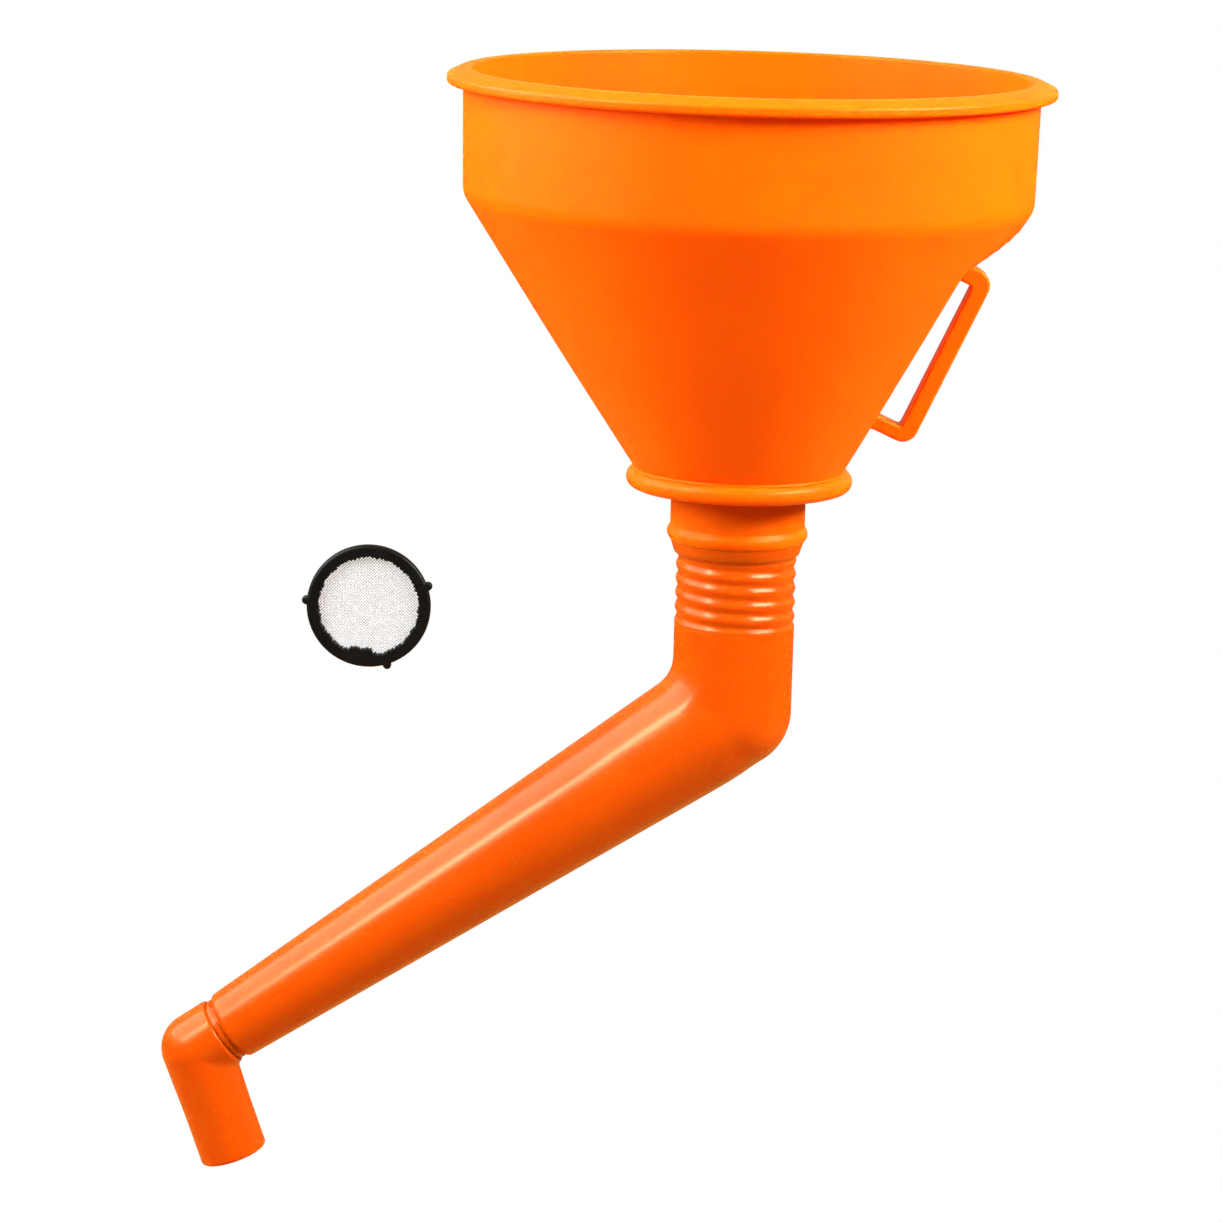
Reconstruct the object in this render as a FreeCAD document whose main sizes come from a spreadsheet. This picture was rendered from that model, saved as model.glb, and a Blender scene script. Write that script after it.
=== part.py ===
"""Funnel with a strap handle, a ribbed swivelling spout, an angled nozzle and a loose strainer.

Frame: +Z runs up the bowl's axis, -X is the side that the spout leans to and +X carries the
handle.  The origin is on the bowl's axis, in the plane of the collar's flat underside.
Lengths are in millimetres and angles in degrees.
"""
import FreeCAD, Part
import Sketcher
import math
import os

SIZES = {
    # bowl
    "mouth_radius": 80.0,            # outside of the rim's lip
    "rim_height": 110.2,             # top of the rim
    "rim_crown": 76.2,               # the rim's flat top ends at this radius
    "rim_crown_round": 2.0,
    "rim_shoulder": 108.4,           # the lip's nose ends at this height
    "rim_under": 106.1,              # underside of the lip
    "rim_edge_round": 0.9,
    "wall_top_radius": 75.7,         # outside of the cylinder under the rim
    "wall_low_radius": 75.2,         # outside of the cylinder at the cone
    "bore_radius": 73.4,             # inside of the cylinder, a true cylinder
    "corner_height": 77.2,           # where cylinder and cone would meet without the rounding
    "corner_round": 7.0,
    "cone_foot_radius": 28.0,
    "cone_foot_height": 5.6,
    "bowl_wall": 1.6,
    "rim_root": 0.4,                 # the wall meets the lip this far under its edge
    "wall_lean": 1.2,                # sideways thickness of the cone for each unit of wall
    # flat relief in the cone behind the handle: a steep panel with a shelf over it
    "crease_x": 55.1,                # the crease between the panel and the shelf
    "crease_z": 63.7,
    "panel_slope": 0.482,            # sideways run of the panel for each unit of height
    "shelf_slope": 1.94,             # the same for the shelf
    "relief_inset": 1.36,            # the crease inside the bowl is this far in and this far up
    "relief_raise": 1.32,
    # collar, outlet socket and strainer seat
    "collar_radius": 30.15,
    "collar_height": 5.0,
    "neck_radius": 18.0,
    "socket_bore": 16.0,
    "socket_end": 14.0,              # depth of the socket's lower end under the collar
    "socket_top": 1.4,               # depth of the socket's inner end under the collar
    "socket_bead_height": 4.0,
    "socket_bead_radius": 3.0,
    "seat_radius": 16.5,
    "seat_floor": 1.8,
    "bowl_floor": 3.2,
    "outlet_radius": 14.4,
    "notch_width": 2.6,
    "notch_radius": 17.7,
    # handle
    "strap_angle": 24.5,
    "strap_inner_x": 42.9,           # lower inner corner of the strap's gap
    "strap_inner_z": 19.1,
    "strap_thickness": 4.5,
    "strap_width": 9.0,
    "gap_low": 1.2,
    "gap_high": 40.6,
    "leg_low": 3.7,
    "leg_high": 4.7,
    "leg_reach": 16.0,
    "strap_round": 4.4,
    "strap_edge": 0.6,
    # spout above the elbow
    "plug_radius": 15.95,
    "plug_gap": 0.2,                 # from the plug to the socket's inner end
    "plug_chamfer": 0.8,
    "spout_bore": 14.4,
    "shoulder_top": 14.3,
    "shoulder_radius": 17.8,
    "shoulder_chamfer": 0.4,
    "shoulder_end": 17.0,
    "shoulder_end_radius": 16.9,
    "shoulder_run": 1.0,             # the shoulder narrows to the ribs' root over this depth
    "rib_first": 18.5,
    "rib_pitch": 3.85,
    "rib_radius": 16.05,
    "rib_root": 15.55,
    "rib_half_share": 0.36,          # half a rib's width in shares of the pitch
    "rib_sink": 0.3,
    "bellows_end": 37.0,
    "tube_radius": 16.1,
    "tube_wall": 1.4,
    # tapered tube
    "elbow_depth": 60.6,
    "spout_lean": 124.7,             # angle from straight up, towards -X
    "taper_start": 16.85,
    "taper_end": 9.75,
    "taper_length": 163.5,
    "taper_wall": 1.3,
    "taper_round": 1.5,
    "bore_narrows": 5.0,             # the bore narrows to the neck's from this far before the end
    "bore_narrow": 1.6,              # and is as narrow as the neck's this far before the end
    # snap neck between tapered tube and nozzle
    "neck_ring_radius": 8.4,
    "neck_ring_start": 0.7,
    "neck_ring_width": 1.0,
    "spigot_radius": 6.9,
    "spigot_bore": 5.6,
    "spigot_length": 7.0,
    "snap_height": 0.4,
    "snap_start": 5.0,
    "snap_width": 1.2,
    "swivel_gap": 0.05,
    "spigot_gap": 0.3,
    # nozzle
    "nozzle_start": 2.1,             # past the end of the tapered tube
    "nozzle_vertex": 10.9,           # past the end of the tapered tube
    "nozzle_radius": 9.65,
    "nozzle_tip_radius": 9.2,
    "nozzle_tip_length": 14.0,
    "nozzle_length": 32.0,
    "nozzle_lean": 160.6,            # angle from straight up, towards +X
    "nozzle_wall": 1.65,
    "nozzle_round": 1.1,
    # strainer
    "strainer_x": -96.0,
    "strainer_y": -40.0,
    "strainer_z": -26.8,
    "ring_radius": 16.1,
    "ring_bore": 13.2,
    "ring_thickness": 2.8,
    "ring_round": 0.9,
    "lug_radius": 17.4,
    "lug_width": 2.0,
    "lug_edge": 0.4,
    "tab_reach": 2.2,
    "tab_width": 9.0,
    "block_root": 1.0,               # lugs and tabs start this far inside the ring
    "mesh_radius": 13.9,
    "mesh_thickness": 0.5,
}

LUG_ANGLES = (20.0, 176.0, 288.0)    # the strainer's lugs, seen from -Y, and the seat's notches
TAB_ANGLE = 262.0                    # middle of the thick stretch inside the strainer's ring
OVERRUN = 6.0                        # how far a cutting shape runs past what it cuts
NEAR = 1e-4                          # two lengths are the same when they differ by less
RIBS = 5

doc = FreeCAD.newDocument("funnel")
sheet = doc.addObject("Spreadsheet::Sheet", "sizes")
for row, (alias, number) in enumerate(SIZES.items(), start=1):
    sheet.set(f"A{row}", alias)
    sheet.set(f"B{row}", str(number))
    sheet.setAlias(f"B{row}", alias)
doc.recompute()


class Size:
    """A number together with the spreadsheet formula that gives it."""

    def __init__(self, value, formula=None):
        self.value = float(value)
        self.formula = formula or repr(float(value))

    def joined(self, other, sign, value):
        return Size(value, f"({self.formula} {sign} {other.formula})")

    def __add__(self, other):
        other = as_size(other)
        return self.joined(other, "+", self.value + other.value)

    def __sub__(self, other):
        other = as_size(other)
        return self.joined(other, "-", self.value - other.value)

    def __mul__(self, other):
        other = as_size(other)
        return self.joined(other, "*", self.value * other.value)

    def __truediv__(self, other):
        other = as_size(other)
        return self.joined(other, "/", self.value / other.value)

    def __neg__(self):
        return Size(-self.value, f"(-1 * {self.formula})")


def as_size(thing):
    return thing if isinstance(thing, Size) else Size(thing)


def size(alias):
    return Size(SIZES[alias], f"sizes.{alias}")


ZERO = Size(0)


def new_body(name):
    return doc.addObject("PartDesign::Body", name)


def plane(body, role):
    for feature in body.Origin.OriginFeatures:
        if feature.Role == role:
            return feature
    raise ValueError(role)


def new_sketch(body, name, role="XZ_Plane"):
    sketch = body.newObject("Sketcher::SketchObject", name)
    sketch.AttachmentSupport = [(plane(body, role), "")]
    sketch.MapMode = "FlatFace"
    return sketch


def bind(sketch, kind, *where, to):
    """Adds a driving constraint and ties it to the sheet."""
    index = sketch.addConstraint(Sketcher.Constraint(kind, *where, to.value))
    sketch.setExpression(f"Constraints[{index}]", to.formula)


def arc_between(start, end, radius, side):
    """The arc from start to end, made anticlockwise; side 1 bulges right of the way, -1 left."""
    chord = end - start
    right = FreeCAD.Vector(chord.y, -chord.x, 0).normalize() * side
    depth = math.sqrt(max(radius ** 2 - chord.Length ** 2 / 4, 0.0))
    centre = (start + end) * 0.5 - right * depth
    first, last = (start, end) if side > 0 else (end, start)
    circle = Part.Circle(centre, FreeCAD.Vector(0, 0, 1), radius)
    begin = math.atan2(first.y - centre.y, first.x - centre.x)
    finish = math.atan2(last.y - centre.y, last.x - centre.x)
    return Part.ArcOfCircle(circle, begin, finish)


def outline(sketch, corners, bulges=None):
    """Closes a loop through the corners, pairs of Sizes, and pins each corner to the sheet.

    bulges maps the number of a side to its arc, as (radius, side); a radius of None makes a
    half circle on an upright side.
    """
    bulges = bulges or {}
    points = [FreeCAD.Vector(x.value, y.value, 0) for x, y in corners]
    count = len(points)
    ends = []
    for i, start in enumerate(points):
        end = points[(i + 1) % count]
        radius, side = bulges.get(i, (None, 0))
        if side:
            length = radius.value if radius else (end - start).Length / 2
            sketch.addGeometry(arc_between(start, end, length, side), False)
        else:
            sketch.addGeometry(Part.LineSegment(start, end), False)
        ends.append((2, 1) if side < 0 else (1, 2))
    for i in range(count):
        follower = (i + 1) % count
        joint = Sketcher.Constraint("Coincident", i, ends[i][1], follower, ends[follower][0])
        sketch.addConstraint(joint)
    for i, (x, y) in enumerate(corners):
        pin(sketch, i, ends[i][0], x, y)
    for i, (radius, side) in bulges.items():
        if radius:
            bind(sketch, "Radius", i, to=radius)
        else:
            bind(sketch, "DistanceX", -1, 1, i, 3, to=corners[i][0])


def pin(sketch, geometry, point, x, y):
    """Ties a point to the sketch's axes, so that each distance stays positive."""
    for axis, distance in (("X", x), ("Y", y)):
        if abs(distance.value) < NEAR:
            line = -2 if axis == "X" else -1
            sketch.addConstraint(Sketcher.Constraint("PointOnObject", geometry, point, line))
        elif distance.value > 0:
            bind(sketch, f"Distance{axis}", -1, 1, geometry, point, to=distance)
        else:
            bind(sketch, f"Distance{axis}", geometry, point, -1, 1, to=-distance)


def revolved(body, name, corners, bulges=None):
    """Turns a closed outline of (radius, height) corners about the body's Z axis."""
    sketch = new_sketch(body, f"{name}_outline")
    outline(sketch, corners, bulges)
    feature = body.newObject("PartDesign::Revolution", name)
    feature.Profile = sketch
    feature.ReferenceAxis = (sketch, ["V_Axis"])
    feature.Angle = 360
    doc.recompute()
    return feature


def extruded(body, kind, name, corners, length, role="XZ_Plane", bulges=None):
    """A pad or a through-all pocket of an outline, to both sides of its plane."""
    sketch = new_sketch(body, f"{name}_outline", role)
    outline(sketch, corners, bulges)
    feature = body.newObject(f"PartDesign::{kind}", name)
    feature.Profile = sketch
    feature.SideType = "Symmetric"
    feature.Length = length.value
    feature.setExpression("Length", length.formula)
    doc.recompute()
    return feature


def rounded(body, name, base, radius, wanted):
    """Rounds the edges of base that the test picks."""
    names = [f"Edge{i}" for i, e in enumerate(base.Shape.Edges, start=1) if wanted(e)]
    if not names:
        raise ValueError(f"{name} found no edge")
    feature = body.newObject("PartDesign::Fillet", name)
    feature.Base = (base, names)
    feature.Radius = radius.value
    feature.setExpression("Radius", radius.formula)
    doc.recompute()
    return feature


def is_ring(radius, height):
    """Tests an edge for being a full circle about Z with this radius and height."""

    def test(edge):
        circle = edge.Curve
        if not isinstance(circle, Part.Circle):
            return False
        same_radius = abs(circle.Radius - radius) < NEAR
        return same_radius and abs(circle.Center.z - height) < NEAR

    return test


def place(thing, x=0.0, y=0.0, z=0.0, axis=(0, 1, 0), angle=0.0):
    rotation = FreeCAD.Rotation(FreeCAD.Vector(*axis), angle)
    thing.Placement = FreeCAD.Placement(FreeCAD.Vector(x, y, z), rotation)
    return thing


def cut(label, base, tool):
    feature = doc.addObject("Part::Cut", label)
    feature.Base = base
    feature.Tool = tool
    feature.Label = label
    doc.recompute()
    return feature


def fused(name, shapes):
    feature = doc.addObject("Part::MultiFuse", name)
    feature.Shapes = shapes
    doc.recompute()
    return feature


# ---------------------------------------------------------------- bowl

def bowl_outer():
    """The bowl's outside as a solid: rim, cylinder, relieved cone, collar and socket."""
    body = new_body("bowl_outer")
    collar_bead = size("collar_height") / 2
    collar_centre = size("collar_radius") - collar_bead
    bead_top = -(size("socket_end") - size("socket_bead_height"))
    corners = [
        (ZERO, size("rim_height")),
        (size("rim_crown"), size("rim_height")),
        (size("mouth_radius"), size("rim_shoulder")),
        (size("mouth_radius"), size("rim_under")),
        (size("wall_top_radius"), size("rim_under") - size("rim_root")),
        (size("wall_low_radius"), size("corner_height")),
        (size("cone_foot_radius"), size("cone_foot_height")),
        (collar_centre, size("collar_height")),
        (collar_centre, ZERO),
        (size("neck_radius"), ZERO),
        (size("neck_radius"), bead_top),
        (size("neck_radius"), -size("socket_end")),
        (ZERO, -size("socket_end")),
    ]
    bulges = {
        7: (None, -1),
        10: (size("socket_bead_radius"), -1),
    }
    solid = revolved(body, "bowl_turned", corners, bulges)
    corner = is_ring(SIZES["wall_low_radius"], SIZES["corner_height"])
    solid = rounded(body, "bowl_corner", solid, size("corner_round"), corner)
    crown = is_ring(SIZES["rim_crown"], SIZES["rim_height"])
    solid = rounded(body, "rim_crown_edge", solid, size("rim_crown_round"), crown)
    for name in ("rim_shoulder", "rim_under"):
        edge = is_ring(SIZES["mouth_radius"], SIZES[name])
        solid = rounded(body, f"{name}_edge", solid, size("rim_edge_round"), edge)
    relief(body, "bowl_relief", solid, ZERO, ZERO)
    return body


def relief(body, name, base, inset, rise):
    """Cuts away what lies outside the relief's shelf and panel, moved in and up."""
    far = size("mouth_radius") + OVERRUN
    low = size("collar_height")
    crease_x = size("crease_x") - inset
    crease_z = size("crease_z") + rise
    corners = [
        (crease_x, crease_z),
        (far, crease_z + (far - crease_x) / size("shelf_slope")),
        (far, low),
        (crease_x - (crease_z - low) * size("panel_slope"), low),
    ]
    before = base.Shape.Volume
    feature = extruded(body, "Pocket", name, corners, size("mouth_radius") * 2)
    if feature.Shape.Volume > before - NEAR:
        raise ValueError(f"{name} cuts nothing")
    return feature


def bowl_cavity():
    """The space inside the bowl, from the mouth to the socket's lower end."""
    body = new_body("bowl_cavity")
    run = size("wall_low_radius") - size("cone_foot_radius")
    rise = size("corner_height") - size("cone_foot_height")
    across = size("bowl_wall") * size("wall_lean")
    inset = size("wall_low_radius") - size("bore_radius") - across
    inner_corner = size("corner_height") - inset * rise / run
    drop = size("cone_foot_height") - size("bowl_floor")
    floor_radius = size("cone_foot_radius") - across - drop * run / rise
    corners = [
        (ZERO, size("rim_height") + OVERRUN),
        (size("bore_radius"), size("rim_height") + OVERRUN),
        (size("bore_radius"), inner_corner),
        (floor_radius, size("bowl_floor")),
        (size("seat_radius"), size("bowl_floor")),
        (size("seat_radius"), size("seat_floor")),
        (size("outlet_radius"), size("seat_floor")),
        (size("outlet_radius"), -size("socket_top")),
        (size("socket_bore"), -size("socket_top")),
        (size("socket_bore"), -(size("socket_end") + OVERRUN)),
        (ZERO, -(size("socket_end") + OVERRUN)),
    ]
    solid = revolved(body, "cavity_turned", corners)
    corner = is_ring(SIZES["bore_radius"], inner_corner.value)
    solid = rounded(body, "cavity_corner", solid, size("corner_round") - size("bowl_wall"), corner)
    relief(body, "cavity_relief", solid, size("relief_inset"), size("relief_raise"))
    return body


def seat_notch(number, angle):
    """The space for one of the strainer's lugs beside its seat."""
    box = doc.addObject("Part::Box", f"seat_notch_{number}")
    box.setExpression("Length", "sizes.notch_radius")
    box.setExpression("Width", "sizes.notch_width")
    box.setExpression("Height", "sizes.bowl_floor - sizes.seat_floor + sizes.block_root")
    turn = FreeCAD.Rotation(FreeCAD.Vector(0, 0, 1), angle)
    side = turn.multVec(FreeCAD.Vector(0, -SIZES["notch_width"] / 2, 0))
    return place(box, side.x, side.y, SIZES["seat_floor"], (0, 0, 1), angle)


def funnel_bowl(outer):
    notches = [seat_notch(i, angle) for i, angle in enumerate(LUG_ANGLES, start=1)]
    space = fused("bowl_space", [bowl_cavity()] + notches)
    return cut("funnel_bowl", outer, space)


# ---------------------------------------------------------------- handle

def handle(outer):
    """A flat strap bent into a bracket, its two legs ending on the relief's shelf and panel."""
    body = new_body("strap")
    back = -size("leg_reach")
    face = size("strap_thickness")
    low = -size("gap_low")
    high = size("gap_high")
    corners = [
        (back, low),
        (back, low - size("leg_low")),
        (face, low - size("leg_low")),
        (face, high + size("leg_high")),
        (back, high + size("leg_high")),
        (back, high),
        (ZERO, high),
        (ZERO, low),
    ]
    pad = extruded(body, "Pad", "strap_pad", corners, size("strap_width"))

    def outer_corner(edge):
        box = edge.BoundBox
        at_face = abs(box.XMin - face.value) < NEAR and abs(box.XMax - face.value) < NEAR
        return at_face and box.YLength > NEAR and box.ZLength < NEAR

    solid = rounded(body, "strap_corners", pad, size("strap_round"), outer_corner)

    def long_edge(edge):
        box = edge.BoundBox
        on_side = box.YLength < NEAR
        return on_side and box.XMin > -NEAR

    rounded(body, "strap_edges", solid, size("strap_edge"), long_edge)
    place(body, SIZES["strap_inner_x"], 0, SIZES["strap_inner_z"], angle=SIZES["strap_angle"])
    return cut("handle", body, outer)


# ---------------------------------------------------------------- spout above the elbow

def spout_plug():
    body = new_body("spout_plug")
    top = -size("socket_top") - size("plug_gap")
    low = -size("shoulder_top") + size("swivel_gap")
    corners = [
        (size("spout_bore"), top),
        (size("plug_radius") - size("plug_chamfer"), top),
        (size("plug_radius"), top - size("plug_chamfer")),
        (size("plug_radius"), low),
        (size("spout_bore"), low),
    ]
    revolved(body, "plug_turned", corners)
    return body


def spout_shoulder():
    body = new_body("spout_shoulder")
    top = -size("shoulder_top")
    chamfer = size("shoulder_chamfer")
    corners = [
        (size("spout_bore"), top),
        (size("shoulder_radius") - chamfer, top),
        (size("shoulder_radius"), top - chamfer),
        (size("shoulder_end_radius"), -size("shoulder_end")),
        (size("spout_bore"), -size("shoulder_end")),
    ]
    revolved(body, "shoulder_turned", corners)
    return body


def spout_bellows():
    """The ribbed length: a thin tube with ribs outside and matching grooves inside."""
    body = new_body("spout_bellows")
    start = -size("shoulder_end")
    end = -size("bellows_end")
    corners = [
        (size("spout_bore"), start),
        (size("shoulder_end_radius"), start),
        (size("rib_root"), start - size("shoulder_run")),
        (size("rib_root"), end),
        (size("spout_bore"), end),
    ]
    revolved(body, "bellows_tube", corners)
    half = size("rib_pitch") * size("rib_half_share")
    middle = -size("rib_first")
    height = size("rib_radius") - size("rib_root")
    arc = (half * half / height + height) / 2
    root = size("rib_root") - size("rib_sink")
    ridge = [
        (root, middle + half),
        (size("rib_root"), middle + half),
        (size("rib_root"), middle - half),
        (root, middle - half),
    ]
    rib = revolved(body, "rib", ridge, {1: (arc, -1)})
    repeated(body, "ribs", rib, size("rib_pitch"))
    return body


def repeated(body, name, feature, pitch):
    """Copies a turned feature down the body's axis, one for each rib."""
    pattern = body.newObject("PartDesign::LinearPattern", name)
    pattern.Originals = [feature]
    pattern.Direction = (plane(body, "Z_Axis"), [""])
    pattern.Reversed = True
    pattern.Occurrences = RIBS
    pattern.Length = pitch.value * (RIBS - 1)
    pattern.setExpression("Length", f"{pitch.formula} * {RIBS - 1}")
    body.Tip = pattern
    doc.recompute()
    return pattern


# ---------------------------------------------------------------- elbow and tapered tube

def tube_run(name, wall):
    """The straight length from the bellows down to the elbow, as a cylinder."""
    cylinder = doc.addObject("Part::Cylinder", name)
    past = 0.0 if wall == 0 else OVERRUN
    cylinder.setExpression("Radius", f"sizes.tube_radius - {wall} * sizes.tube_wall")
    cylinder.setExpression("Height", f"sizes.elbow_depth - sizes.bellows_end + {past}")
    return place(cylinder, z=-SIZES["elbow_depth"])


def ball(name, radius, wall, x, z):
    sphere = doc.addObject("Part::Sphere", name)
    sphere.setExpression("Radius", f"sizes.{radius} - {wall}")
    return place(sphere, x=x, z=z)


def taper_outer():
    """The outside of the tapered tube and its snap neck, about its own axis."""
    body = new_body("taper_outer")
    end = size("taper_length")
    ring = end + size("neck_ring_start")
    ring_end = ring + size("neck_ring_width")
    snap = end + size("snap_start")
    snap_end = snap + size("snap_width")
    tip = end + size("spigot_length")
    spigot = size("spigot_radius")
    barb = spigot + size("snap_height")
    corners = [
        (ZERO, ZERO),
        (size("taper_start"), ZERO),
        (size("taper_end"), end),
        (spigot, end),
        (spigot, ring),
        (size("neck_ring_radius"), ring),
        (size("neck_ring_radius"), ring_end),
        (spigot, ring_end),
        (spigot, snap),
        (barb, snap + size("snap_height")),
        (barb, snap_end - size("snap_height")),
        (spigot, snap_end),
        (spigot, tip),
        (ZERO, tip),
    ]
    turned = revolved(body, "taper_turned", corners)
    shoulder = is_ring(SIZES["taper_end"], SIZES["taper_length"])
    rounded(body, "taper_shoulder", turned, size("taper_round"), shoulder)
    return along_spout(body, 0.0)


def taper_inner():
    body = new_body("taper_inner")
    end = size("taper_length")
    corners = [
        (ZERO, ZERO),
        (size("taper_start") - size("taper_wall"), ZERO),
        (size("taper_end") - size("taper_wall"), end - size("bore_narrows")),
        (size("spigot_bore"), end - size("bore_narrow")),
        (size("spigot_bore"), end + size("spigot_length") + OVERRUN),
        (ZERO, end + size("spigot_length") + OVERRUN),
    ]
    revolved(body, "taper_space", corners)
    return along_spout(body, 0.0)


def along_spout(thing, distance):
    """Lays a shape's Z axis along the tapered tube, starting this far from the elbow."""
    lean = math.radians(SIZES["spout_lean"])
    x = -distance * math.sin(lean)
    z = -SIZES["elbow_depth"] + distance * math.cos(lean)
    return place(thing, x=x, z=z, angle=-SIZES["spout_lean"])


def spout_tube():
    depth = -SIZES["elbow_depth"]
    outer = fused("spout_outside", [
        tube_run("tube_outside", 0),
        ball("elbow_outside", "tube_radius", "0", 0.0, depth),
        taper_outer(),
    ])
    space = fused("spout_space", [
        tube_run("tube_inside", 1),
        ball("elbow_inside", "tube_radius", "sizes.tube_wall", 0.0, depth),
        taper_inner(),
    ])
    return cut("spout_tube", outer, space)


# ---------------------------------------------------------------- nozzle

def nozzle_inlet():
    """The outside of the nozzle's inlet, from its rounded edge to the bend."""
    body = new_body("nozzle_inlet")
    start = size("nozzle_start")
    corners = [
        (ZERO, start),
        (size("nozzle_radius"), start),
        (size("nozzle_radius"), size("nozzle_vertex")),
        (ZERO, size("nozzle_vertex")),
    ]
    turned = revolved(body, "inlet_turned", corners)
    edge = is_ring(SIZES["nozzle_radius"], SIZES["nozzle_start"])
    rounded(body, "inlet_edge", turned, size("nozzle_round"), edge)
    return along_spout(body, SIZES["taper_length"])


def nozzle_socket():
    """The bore that turns on the tube's spigot, with the groove for the snap bead."""
    body = new_body("nozzle_socket")
    gap = size("swivel_gap")
    bore = size("spigot_radius") + gap
    groove = bore + size("snap_height")
    snap = size("snap_start") - gap
    snap_end = size("snap_start") + size("snap_width") + gap
    tip = size("spigot_length") + size("spigot_gap")
    corners = [
        (ZERO, size("nozzle_start") - OVERRUN),
        (bore, size("nozzle_start") - OVERRUN),
        (bore, snap),
        (groove, snap + size("snap_height")),
        (groove, snap_end - size("snap_height")),
        (bore, snap_end),
        (bore, tip),
        (ZERO, tip),
    ]
    revolved(body, "socket_space", corners)
    return along_spout(body, SIZES["taper_length"])


def nozzle_vertex():
    lean = math.radians(SIZES["spout_lean"])
    distance = SIZES["taper_length"] + SIZES["nozzle_vertex"]
    return -distance * math.sin(lean), -SIZES["elbow_depth"] + distance * math.cos(lean)


def nozzle_leg(name, wall, past):
    """The outlet leg about its own axis: a short cone and then a true cylinder to the tip."""
    body = new_body(name)
    straight = size("nozzle_length") - size("nozzle_tip_length")
    end = size("nozzle_length") + past
    corners = [
        (ZERO, ZERO),
        (size("nozzle_radius") - wall, ZERO),
        (size("nozzle_tip_radius") - wall, straight),
        (size("nozzle_tip_radius") - wall, end),
        (ZERO, end),
    ]
    turned = revolved(body, f"{name}_turned", corners)
    if past == 0:
        edge = is_ring(SIZES["nozzle_tip_radius"], SIZES["nozzle_length"])
        rounded(body, f"{name}_edge", turned, size("nozzle_round"), edge)
    x, z = nozzle_vertex()
    return place(body, x=x, z=z, angle=SIZES["nozzle_lean"])


def nozzle():
    x, z = nozzle_vertex()
    outer = fused("nozzle_outside", [
        nozzle_inlet(),
        ball("bend_outside", "nozzle_radius", "0", x, z),
        nozzle_leg("leg_outside", ZERO, 0),
    ])
    space = fused("nozzle_space", [
        nozzle_socket(),
        ball("bend_inside", "nozzle_radius", "sizes.nozzle_wall", x, z),
        nozzle_leg("leg_inside", size("nozzle_wall"), OVERRUN),
    ])
    return cut("nozzle", outer, space)


# ---------------------------------------------------------------- strainer

def strainer_ring():
    """The strainer's ring about its own Z axis, with a groove for the mesh, lugs and a tab."""
    body = new_body("ring_body")
    half = size("ring_thickness") / 2
    slot = size("mesh_thickness") / 2
    corners = [
        (size("ring_bore"), half),
        (size("ring_radius"), half),
        (size("ring_radius"), -half),
        (size("ring_bore"), -half),
        (size("ring_bore"), -slot),
        (size("mesh_radius"), -slot),
        (size("mesh_radius"), slot),
        (size("ring_bore"), slot),
    ]
    turned = revolved(body, "ring_turned", corners)
    thick = SIZES["ring_thickness"] / 2

    def outer_edge(edge):
        top = is_ring(SIZES["ring_radius"], thick)(edge)
        return top or is_ring(SIZES["ring_radius"], -thick)(edge)

    rounded(body, "ring_rounding", turned, size("ring_round"), outer_edge)
    lugs = [lug(i, angle) for i, angle in enumerate(LUG_ANGLES, start=1)]
    tabs = [tab("tab_front", 1), tab("tab_back", -1)]
    return beside_bowl(fused("strainer_ring", [body] + lugs + tabs))


def radial_block(name, angle, start, width, low):
    """A box that starts at a radius, points outwards at an angle and begins at a height."""
    box = doc.addObject("Part::Box", name)
    radians = math.radians(angle)
    x = start * math.cos(radians) + width / 2 * math.sin(radians)
    y = start * math.sin(radians) - width / 2 * math.cos(radians)
    return place(box, x, y, low, (0, 0, 1), angle)


def lug(number, angle):
    edge = SIZES["lug_edge"]
    low = edge - SIZES["ring_thickness"] / 2
    start = SIZES["ring_radius"] - SIZES["block_root"]
    box = radial_block(f"lug_{number}", angle, start, SIZES["lug_width"], low)
    box.setExpression("Length", "sizes.lug_radius - sizes.ring_radius + sizes.block_root")
    box.setExpression("Width", "sizes.lug_width")
    box.setExpression("Height", "sizes.ring_thickness - 2 * sizes.lug_edge")
    return box


def tab(name, side):
    """One half of the thick stretch inside the ring, in front of the mesh or behind it."""
    slot = SIZES["mesh_thickness"] / 2
    top = SIZES["ring_thickness"] / 2 - SIZES["lug_edge"]
    low = slot if side > 0 else -top
    start = SIZES["ring_bore"] - SIZES["tab_reach"]
    box = radial_block(name, TAB_ANGLE, start, SIZES["tab_width"], low)
    box.setExpression("Length", "sizes.tab_reach + sizes.block_root")
    box.setExpression("Width", "sizes.tab_width")
    box.setExpression("Height", "(sizes.ring_thickness - sizes.mesh_thickness) / 2 - sizes.lug_edge")
    return box


def strainer_mesh():
    """The woven mesh as a plain disc that fills the ring's groove."""
    disc = doc.addObject("Part::Cylinder", "strainer_mesh")
    disc.setExpression("Radius", "sizes.mesh_radius")
    disc.setExpression("Height", "sizes.mesh_thickness")
    return beside_bowl(disc, SIZES["mesh_thickness"] / 2)


def beside_bowl(thing, back=0.0):
    """Stands a strainer piece upright beside the bowl, its axis along Y."""
    x, y, z = (SIZES[f"strainer_{axis}"] for axis in "xyz")
    return place(thing, x, y + back, z, (1, 0, 0), 90)


def build():
    outer = bowl_outer()
    return [
        funnel_bowl(outer),
        handle(outer),
        spout_plug(),
        spout_shoulder(),
        spout_bellows(),
        spout_tube(),
        nozzle(),
        strainer_ring(),
        strainer_mesh(),
    ]


def check(thing):
    if "Invalid" in thing.State or "Error" in thing.State:
        raise ValueError(f"{thing.Label} failed: {thing.State}")


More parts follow.
